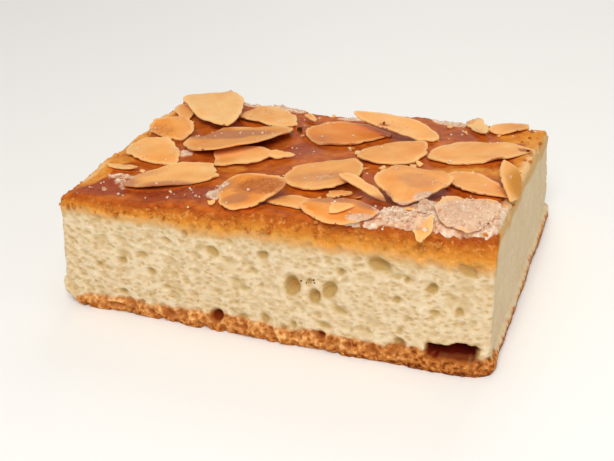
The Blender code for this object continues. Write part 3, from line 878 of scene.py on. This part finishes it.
# painted shadow: darker along the lowest 2 mm of the base where it meets the floor; also browner towards the
# right
browner_right_shaded_bottom = cake.step(bottom, 2.0 * MM, 0.4 * MM) * 0.20 + cake.step(across_slice, 5 * MM, 40 * MM) * 0.16
base_crust = cake.layered(
    # painted shade in the pits: the ramp darkens towards each pit's middle
    cake.ramp(crust_grain * 0.45 + pits * 0.5 + 0.30 - browner_right_shaded_bottom, (0.06, tone(100, 42, 10)),
              (0.30, tone(168, 96, 38)), (0.56, tone(206, 138, 72)), (0.86, tone(240, 190, 128))),
    # painted shade: hollows in the base go brown, then nearly black with depth
    (cake.step(hollow + crust_grain * 0.15, 0.1, 0.8) * 0.8, tone(164, 90, 36)),
    (cake.step(hollow + crust_grain * 0.1, 0.7, 1.6), tone(128, 48, 12)))
colour = cake.layered(top_band, (cake.step(layer, 1.4, 2.3), crumb_colour), (cake.number("base"), base_crust),
                      # the cave is dark red-brown: browned dough, with painted shade for the depth of the
                      # hollow
                      (cake.number("in_cave"), tone(104, 22, 6)))
print(f"{len(cake.tree.nodes)} nodes so far")

# %% [markdown]
# On top the dough is golden where it is bare, caramel where butter browned it, mauve under a film
# of melted sugar, and beige to white under the sugar crust, with painted highlights on its clumps
# and painted shade between them. Close under the flakes a saturated orange is painted shade.

# %% Colours of the top
melted = cake.number("melted")
sugared = cake.number("sugared")
on_top = cake.number("on_top")
ripple = cake.grain(2.4, 4.0)
sandy = cake.grain(0.45, 3.0)

film = cake.layered(
    tone(138, 50, 18),
    (cake.step(sandy * 1.2 + ripple * 0.6, -0.9, 1.0), tone(174, 82, 40)),
    (cake.step(sandy + medium * 0.5, 0.75, 1.2) * 0.7, tone(216, 150, 118)))
bare = cake.mix(cake.step(ripple + medium * 0.4, -1.0, 1.2), tone(210, 122, 34), tone(234, 164, 74))
# painted highlight on the sugar clumps' tops and painted shade between them, by each clump's height
crust = cake.layered(
    cake.ramp(thread * 0.5 + sandy * 0.12, (0.0, tone(190, 130, 98)), (0.2, tone(226, 182, 148)),
              (0.55, tone(246, 222, 198))),
    (cake.step(ripple + medium * 0.5, 0.1, 0.9) * 0.6, tone(210, 160, 134)))
surface = cake.layered(
    tone(158, 66, 18),
    (cake.step(ripple + slow * 0.6 + sandy * 0.3, -0.9, 1.0), tone(204, 108, 32)),
    (cake.step(melted + ripple * 0.2, 0.25, 0.75), film),
    # painted shade: a saturated orange where the flakes hang close above the top
    (cake.step(cake.number("near_flake"), 0.3, 1.0) * 0.8, tone(200, 96, 18)),
    (cake.number("golden"), bare),
    (cake.number("pale") * 0.9, tone(236, 192, 134)),
    (sugared * 0.95, crust))
cake.set("Base Color", cake.mix(on_top, colour, surface))
print(f"{len(cake.tree.nodes)} nodes so far")

# %% [markdown]
# Gloss follows the same masks: crumb, crust and sugar are dull, caramel shines. The finest
# relief, too small for the mesh, is bump: pin holes in the crumb, grains in crust and sugar.

# %% Gloss and finest relief
glossy = on_top * (1 - sugared) * (1 - cake.number("golden") * 0.6)
cake.set("Roughness", 0.85 - glossy * 0.45)
cake.set("Coat Weight", on_top * melted * (1 - sugared) * 0.12)
rough = cake.step(cake.number("base") + sugared + melted * 0.4, 0.3, 0.8)
height = (cake.step(cell, 0.12, 0.65) * spongy + fine * (0.16 - calm * 0.1)) * (1 - on_top)
height = height + cake.grain(0.35, 3.0) * (rough * 0.5 + 0.06) + ripple * 0.08
height = height + pits * cake.number("base") * 0.7
cake.set("Normal", cake.bump(height, 0.5, 0.28))
make_piece("cake_crumb", crumb_mesh, cake.material, ["cake"])
make_piece("cake_top", top_mesh, cake.material, ["cake"])
print("crumb and top are dressed")

# %% [markdown]
# ## Almond flakes
#
# A sliced almond is a thin oval that curls as it dries in the oven. Its plain solid is the same
# thickness all over. Here only its upper side is kept: a subdivision surface rounds that sheet,
# small moves make its rim ragged and its face uneven, and it is thickened again downwards, about
# a millimetre in the middle and a third of that at the rim, as the knife leaves it. The distance
# to the rim and the painted patches are stored for the material.

# %% Make a fine flake from a plain one
RIM_THICKNESS = 0.28
MIDDLE_THICKNESS = 0.9
THINNING_REACH = 2.5
UPPER_FACING = 0.5
RIM_CREASE = 0.5
MANY_FACES = 60
SHARPEST_BEND = math.radians(50)
FLAKE_TONES = {
    1: 0.2, 2: -0.2, 3: 0.4, 4: -0.3, 5: -0.2, 6: -0.3, 7: 0.1, 8: 0.4, 9: 0.3, 10: 0.2, 11: 1.1, 12: 0.1,
    13: -0.8, 14: 0.1, 15: 0.6, 16: 0.4, 17: -0.1, 18: -0.2, 19: -0.3, 20: -0.3, 21: 0.8, 22: -0.4, 23: 0.3,
    24: 0.0, 25: -0.2, 26: -0.6, 27: -0.2, 28: 0.1, 29: 0.2,
}
FLAKE_GROWTH = {4: 1.0, 16: 0.8, 17: 0.5, 24: 0.4, 26: 0.8}
BENT_FLAKE = 19
BEND_HEIGHT = 26.9
BELOW_BEND = 0.3


def flat_axes(places):
    """The directions along, across and up from a flake: its places spread most along, least up."""
    along, across, up = np.linalg.svd(places - places.mean(axis=0), full_matrices=False)[2]
    return along, across, up if up[2] > 0 else -up


def upper_sheet(name):
    """The upper side of a plain flake as a finely divided open sheet, and its directions."""
    bm = open_mesh(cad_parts[name].data)
    bmesh.ops.remove_doubles(bm, verts=bm.verts, dist=SAME_PLACE)
    axes = flat_axes(np.array([vert.co for vert in bm.verts]))
    below = [face for face in bm.faces if face.normal.dot(Vector(axes[2])) < UPPER_FACING]
    bmesh.ops.delete(bm, geom=below, context="FACES")
    bmesh.ops.join_triangles(bm, faces=bm.faces, angle_face_threshold=math.radians(40),
                             angle_shape_threshold=math.radians(60))
    crease = bm.verts.layers.float.new("crease_vert")
    for vert in bm.verts:
        vert[crease] = RIM_CREASE if vert.is_boundary else 0.0
    holder = put_in_scene(name, close_mesh(bm, bpy.data.meshes.new(name)))
    rounder = holder.modifiers.new("round", "SUBSURF")
    rounder.levels = rounder.render_levels = 3 if len(holder.data.polygons) > MANY_FACES else 2
    mesh = bpy.data.meshes.new_from_object(holder.evaluated_get(bpy.context.evaluated_depsgraph_get()))
    bpy.data.objects.remove(holder)
    return mesh, axes


def fine_flake(name, number):
    """A rounded flake with a chipped rim, thinner towards it, a little wavy."""
    mesh, (along, across, up) = upper_sheet(name)
    bm = open_mesh(mesh)
    rim = {vert.index for edge in bm.edges if edge.is_boundary for vert in edge.verts}
    bm.free()
    places = get_places(mesh)
    finder = KDTree(len(rim))
    for index in rim:
        finder.insert(places[index], index)
    finder.balance()
    from_rim = np.array([finder.find(place)[2] for place in places])

    from_middle = places - places.mean(axis=0)
    outward = from_middle - np.outer(from_middle @ up, up)
    outward /= np.maximum(np.linalg.norm(outward, axis=1), 0.1)[:, None]
    near_rim = 1 - smooth_step(0.0, 1.4, from_rim)
    chips = (1 - np.abs(bumps(places, 1.7, 150 + number))) ** 5
    ragged = bumpy(places, (0.45, 3.0, 50 + number), (0.15, 0.8, 20 + number)) - 0.4 * chips
    set_number(mesh, "from_rim", from_rim)
    set_number(mesh, "across", from_middle @ across)
    set_number(mesh, "tone", np.full(len(places), FLAKE_TONES[number]))
    for kind, group in (("melted", MELTED), ("sugared", SUGARED), ("browned", BROWNED), ("golden", HANGING)):
        set_number(mesh, kind, paint(group, places))
    if number == BENT_FLAKE:
        places[:, 2] = np.maximum(places[:, 2], BEND_HEIGHT + BELOW_BEND * (places[:, 2] - BEND_HEIGHT))
    places += outward * (near_rim * (ragged + FLAKE_GROWTH.get(number, 0.0)))[:, None]
    drape = -0.10 + 0.34 * bumps(places, 4.5, 90 + number)
    uneven = bumpy(places, (0.16, 3.4, 120 + number), (0.05, 1.3, 180 + number)) - 0.12 * near_rim
    places += np.outer(drape * (1 - smooth_step(0.0, 3.5, from_rim)) + uneven, up)
    set_places(mesh, places)

    bm = open_mesh(mesh)
    distance = bm.verts.layers.float["from_rim"]
    for made in bmesh.ops.extrude_face_region(bm, geom=bm.faces[:])["geom"]:
        if isinstance(made, bmesh.types.BMVert):
            inner = min(made[distance] / THINNING_REACH, 1.0)
            thickness = RIM_THICKNESS + (MIDDLE_THICKNESS - RIM_THICKNESS) * inner * (2 - inner)
            made.co -= Vector(up) * thickness * MM
    bmesh.ops.recalc_face_normals(bm, faces=bm.faces)
    for edge in bm.edges:
        edge.smooth = edge.calc_face_angle() < SHARPEST_BEND
    return close_mesh(bm, mesh)


flake_meshes = {name: fine_flake(name, int(name[-2:])) for name in flake_nodes}
print(f"{len(flake_meshes)} flakes, {sum(len(m.polygons) for m in flake_meshes.values())} faces")

# %% [markdown]
# Toasted almond is light orange and a bit translucent, with a painted highlight that makes it paler
# towards its thin rim, and with a few scorched specks at the rim itself and faint lines along it. Under
# melted sugar it gets a brownish film, partly painted sheen. The number "tone" tells how far the oven
# got with each flake.

# %% The flakes' finish
almond = Finish("toasted_almond", Subsurface_Weight=0.3, Subsurface_Scale=0.0008,
                Subsurface_Radius=(1.0, 0.5, 0.2), Specular_IOR_Level=0.16, Roughness=0.45)
speck = almond.grain(0.7, 3.0)
cloud = almond.grain(3.2, 3.0)
from_rim = almond.number("from_rim")
lines = almond.node("ShaderNodeTexNoise", {"noise_dimensions": "1D"},
                    {"W": almond.number("across") + cloud * 0.12, "Scale": 1.1, "Detail": 3.0})
scorch = almond.step(almond.grain(1.0, 3.0) + cloud * 0.5 - from_rim * 1.5, 0.35, 0.7)
sugar_film_and_sheen = almond.step(almond.number("melted") + cloud * 0.12, 0.05, 0.95)
toasting = almond.step(almond.number("browned") + speck * 0.25, 0.2, 1.0)
crystals = almond.step(almond.number("sugared") + almond.grain(1.8, 3.0) * 0.3, 0.3, 0.9)
frosting = almond.mix(almond.step(cloud + speck * 0.3, -0.8, 0.8), tone(206, 160, 132), tone(238, 204, 172))
shade = almond.grain(6.0, 2.0) * 0.6 + cloud * 0.15 + speck * 0.1 + (lines - 0.5) * 0.4
shade = shade + almond.number("tone")
nut = almond.layered(
    almond.ramp(shade * 0.4 + 0.5, (0.05, tone(248, 200, 134)), (0.5, tone(242, 168, 88)),
                (0.95, tone(226, 130, 30))),
    # painted highlight: paler towards the thin rim
    (almond.step(from_rim + speck * 0.3, 1.2, 0.1) * 0.5, tone(252, 206, 142)),
    (scorch * 0.85, tone(112, 44, 14)),
    # the film of melted sugar, with a painted sheen in its greyish-brown tone
    (sugar_film_and_sheen * 0.85, tone(184, 112, 72)),
    (toasting * 0.9, tone(168, 78, 16)),
    (almond.number("golden") * 0.95, tone(206, 132, 10)),
    (crystals * 0.9, frosting))
almond.set("Base Color", nut)
relief = almond.grain(0.6, 3.0) * (crystals * 0.25 + 0.08) + cloud * 0.25 + lines * 0.15
almond.set("Normal", almond.bump(relief, 0.5, 0.2))
for name, mesh in flake_meshes.items():
    make_piece("baked_" + name, mesh, almond.material, [name])
print(f"{len(flake_meshes)} flakes dressed")

# %% [markdown]
# ## Sugar grains, lumps, crumbs and almond bits
#
# Undissolved sugar is grains of a third of a millimetre, and some of them stick together as lumps.
# Crumbs of golden crust lie along the cuts, and bits broken off the flakes lie between them. Most
# are strewn at random, thickest where their patches are; a few large lumps have places of their
# own. Rays cast down, or back into the front, find the surface each one lies on. Every kind is
# one piece, since nobody picks up a single grain.

# %% Where small things lie
bare_top = ground_of([top_mesh])
whole_top = ground_of([top_mesh, *flake_meshes.values()])
whole_slice = ground_of([top_mesh, *flake_meshes.values(), crumb_mesh])
FAR = 60.0
STEEPEST = 0.3
PROUD = 0.2


def scatter(count, weight, sizes, seed):
    """Rows of x, y and size, kept where weight(places) beats a random number."""
    rng = np.random.default_rng(seed)
    spans = ((0.3, WIDTH - 0.1), (-1.0, DEPTH - 0.5), sizes)
    rows = np.column_stack([rng.uniform(*span, count * 8) for span in spans])
    return rows[rng.uniform(0, 1, len(rows)) < weight(rows)][:count]


def strew(name, ground, rows, finish, shape, seed, tilt=1.5, down=True):
    """One piece of small bodies on the ground, at x and y from above or x and z from the front."""
    rng = np.random.default_rng(seed)
    towards = Vector((0.0, 0.0, -1.0)) if down else Vector((0.0, 1.0, 0.0))
    bm = bmesh.new()
    for x, other, size in rows:
        start = Vector((np.array((x, other, FAR) if down else (x, -FAR, other)) + FOOT_AT) * MM)
        place, normal = ground.ray_cast(start, towards)[:2]
        if place is None or normal.dot(towards) > -STEEPEST:
            continue
        turn = (Matrix.Rotation(rng.uniform(-tilt, tilt), 4, Vector((*rng.normal(size=2), 0.0)).normalized())
                @ Matrix.Rotation(rng.uniform(0, 6.3), 4, "Z"))
        stretch = Matrix.Diagonal((*(size * MM * rng.uniform(0.7, 1.2, 3)), 1.0))
        shape(bm, Matrix.Translation(place + normal * size * PROUD * MM) @ turn @ stretch)
    mesh = close_mesh(bm, bpy.data.meshes.new(name))
    make_piece(name, mesh, finish.material, [], smooth=False)
    return mesh


def crystal(bm, matrix):
    bmesh.ops.create_cube(bm, size=1.0, matrix=matrix)


# noise_vector starts from the clock unless it has a seed
noise.seed_set(5)


def roughen(verts, matrix, length, share):
    for vert in verts:
        vert.co += noise.noise_vector(vert.co / (length * MM)) * share * matrix.median_scale


def lump(bm, matrix):
    verts = bmesh.ops.create_icosphere(bm, subdivisions=2, radius=0.42, matrix=matrix)["verts"]
    roughen(verts, matrix, 0.35, 0.5)


def shard(bm, matrix):
    verts = bmesh.ops.create_cone(bm, cap_ends=True, segments=6, radius1=0.42, radius2=0.5, depth=0.22,
                                  matrix=matrix)["verts"]
    roughen(verts, matrix, 0.9, 0.3)


print("ready to strew crystals, lumps and shards")

# %% Finishes of the small things
def two_toned(name, length, spread, dark, light, **constants):
    """A finish with patches of two tones."""
    finish = Finish(name, **constants)
    finish.set("Base Color", finish.mix(finish.step(finish.grain(length), -spread, spread), dark, light))
    return finish


sugar = two_toned("sugar_grains", 1.0, 0.6, tone(226, 174, 136), tone(250, 224, 196), Roughness=0.35,
                  Specular_IOR_Level=0.4, Subsurface_Weight=0.4, Subsurface_Scale=0.0006,
                  Subsurface_Radius=(1.0, 0.8, 0.7))
golden_crumb = two_toned("crust_crumbs", 2.0, 0.5, tone(190, 102, 32), tone(218, 150, 72), Roughness=0.7,
                         Specular_IOR_Level=0.1, Subsurface_Weight=0.2, Subsurface_Scale=0.0008)
charred_crumb = two_toned("charred_crumbs", 0.5, 0.5, tone(64, 28, 12), tone(140, 70, 28), Roughness=0.8,
                          Specular_IOR_Level=0.1)
for finish in (sugar, golden_crumb):
    finish.set("Normal", finish.bump(finish.grain(0.3, 3.0), 0.6, 0.2))
print("sugar, golden and charred finishes")

# %% Strew sugar, crumbs and almond bits
LARGE_LUMPS = (
    (74.9, 7.2, 2.2), (75.3, 5.4, 1.9), (74.4, 9.0, 1.5), (76.4, 6.2, 1.4), (76.1, -1.4, 1.0),
    (77.5, -1.5, 1.1), (71.6, -0.6, 1.0), (80.6, -0.8, 1.1), (86.9, 1.0, 1.2), (88.3, 2.0, 1.1),
    (88.9, 4.6, 1.0), (8.8, 5.2, 1.0), (12.6, 4.4, 0.8), (12.2, 8.2, 0.8), (10.8, 9.6, 0.9),
    (9.2, 10.6, 1.0), (33.0, 5.6, 1.0), (32.6, 8.4, 1.1),
)
grain_rows = scatter(
    2600, lambda rows: np.clip(0.5 * paint(SUGARED, rows) ** 2 + 0.006 + 0.03 * paint(MELTED, rows), 0, 1),
    (0.16, 0.46), 61)
lump_rows = scatter(90, lambda rows: 0.3 * paint(SUGARED, rows) ** 2, (0.4, 0.9), 62)
crumb_rows = scatter(
    260, lambda rows: 0.015 + 0.1 * paint(GOLDEN, rows) ** 2 + 0.5 * paint(CRUMBLY, rows) ** 2,
    (0.35, 1.0), 63)
bit_rows = scatter(
    45, lambda rows: 0.3 * (1 - paint(CRUMBLY, rows)) * (1 - paint(MELTED, rows)), (0.8, 2.0), 64)
grains = strew("sugar_grains", whole_top, grain_rows, sugar, crystal, 71)
lumps = strew("sugar_lumps", whole_top, np.vstack((LARGE_LUMPS, lump_rows)), sugar, lump, 72)
crumbs = strew("crust_crumbs", bare_top, crumb_rows, golden_crumb, lump, 73)
bits = strew("almond_bits", bare_top, bit_rows, almond, shard, 74, tilt=0.5)
print(f"{len(grains.polygons) // 6} sugar grains, {len(lumps.polygons) // 80} lumps,"
      f" {len(crumbs.polygons) // 80} crumbs, {len(bits.polygons) // 8} almond bits")

# %% Strew the crumbs on the front and the charred ones
BAND_CRUMBS = 90
BAND_END = 76.0
PLACED_CRUMBS = ((76.9, 23.9, 1.3), (80.0, 25.1, 1.5), (78.9, 25.0, 1.0), (47.2, 23.2, 0.9))
CHARRED_IN_FRONT = (
    (53.3, 13.6, 0.5), (54.3, 13.2, 0.4), (55.9, 14.2, 0.4), (56.1, 13.7, 0.5), (25.2, 5.6, 0.3),
    (31.2, 5.8, 0.3), (7.4, 6.4, 0.25), (20.2, 5.3, 0.25), (87.8, 4.3, 0.3),
)
CHARRED_ON_TOP = (
    (35.6, 48.4, 1.3), (36.2, 47.2, 0.9), (55.6, 48.9, 0.6), (88.2, 45.4, 0.8), (87.9, 17.0, 0.7),
    (57.0, 43.5, 0.6), (51.5, 39.6, 0.5), (11.6, 10.2, 0.5), (0.0, 58.5, 0.8),
)
rng = np.random.default_rng(65)
band_x = rng.uniform(1.0, BAND_END, BAND_CRUMBS)
into_band = np.interp(band_x, *FRONT_BROWNING.T) * rng.uniform(0, 0.8, BAND_CRUMBS)
band_z = np.interp(band_x, (0, WIDTH), TOP_HEIGHTS[:2]) - 0.6 - into_band
band_rows = np.column_stack((band_x, band_z, rng.uniform(0.4, 0.9, BAND_CRUMBS)))
strew("front_crumbs", whole_slice, np.vstack((band_rows, PLACED_CRUMBS)), golden_crumb, lump, 75, down=False)
strew("charred_in_front", whole_slice, CHARRED_IN_FRONT, charred_crumb, lump, 76, down=False)
strew("charred_on_top", whole_top, CHARRED_ON_TOP, charred_crumb, lump, 77)
print(f"{BAND_CRUMBS + len(PLACED_CRUMBS)} crumbs on the front, {len(CHARRED_ON_TOP)} charred on top")

# %% [markdown]
# ## Light, floor and camera
#
# The slice is shown in soft daylight: a large light in front and to the right, a weaker one behind
# for the gloss on the caramel, and a bright pale surround. The camera stands to the right of the
# front and looks down on it.

# %% Floor and surround
floor_mesh = flat_grid("floor", 1, 1, size=1.5)
floor_finish = Finish("pale_floor", Roughness=0.5)
floor_finish.shader.inputs["Base Color"].default_value = tone(250, 249, 246)
floor_mesh.materials.append(floor_finish.material)
floor = put_in_scene("floor", floor_mesh)

world = bpy.data.worlds.new("surround")
world.use_nodes = True
glow = world.node_tree.nodes["Background"].inputs
glow["Color"].default_value = (1.0, 0.985, 0.96, 1.0)
glow["Strength"].default_value = 0.42
bpy.context.scene.world = world
bpy.context.scene.view_settings.view_transform = "Standard"
print("floor and surround")

# %% Lights and camera
Lamp = namedtuple("Lamp", "name place size power colour")
LAMPS = (
    Lamp("front_window", (0.14, -0.50, 0.56), 0.35, 4.3, (1.0, 0.985, 0.96)),
    Lamp("back_window", (-0.05, 0.55, 0.42), 0.40, 0.8, (1.0, 0.97, 0.93)),
)
for lamp in LAMPS:
    light = bpy.data.lights.new(lamp.name, "AREA")
    light.size = lamp.size
    light.energy = lamp.power
    light.color = lamp.colour
    holder = put_in_scene(lamp.name, light)
    holder.location = lamp.place
    holder.rotation_euler = Vector(lamp.place).to_track_quat("Z", "Y").to_euler()

CAMERA_PLACE = (0.07175, -0.1951, 0.11182)
CAMERA_TURN = 20.75
CAMERA_TILT = 63.25
CAMERA_ROLL = -2.63
camera = bpy.data.cameras.new("camera")
camera.sensor_width = 36.0
camera.lens = 61.56
camera.clip_start = 0.01
stand = Matrix.Translation(CAMERA_PLACE)
for angle, axis in ((CAMERA_TURN, "Z"), (CAMERA_TILT, "X"), (CAMERA_ROLL, "Z")):
    stand = stand @ Matrix.Rotation(math.radians(angle), 4, axis)
holder = put_in_scene("camera", camera)
holder.matrix_world = stand
bpy.context.scene.camera = holder
print(f"{len(LAMPS)} lights, camera at {CAMERA_PLACE}")
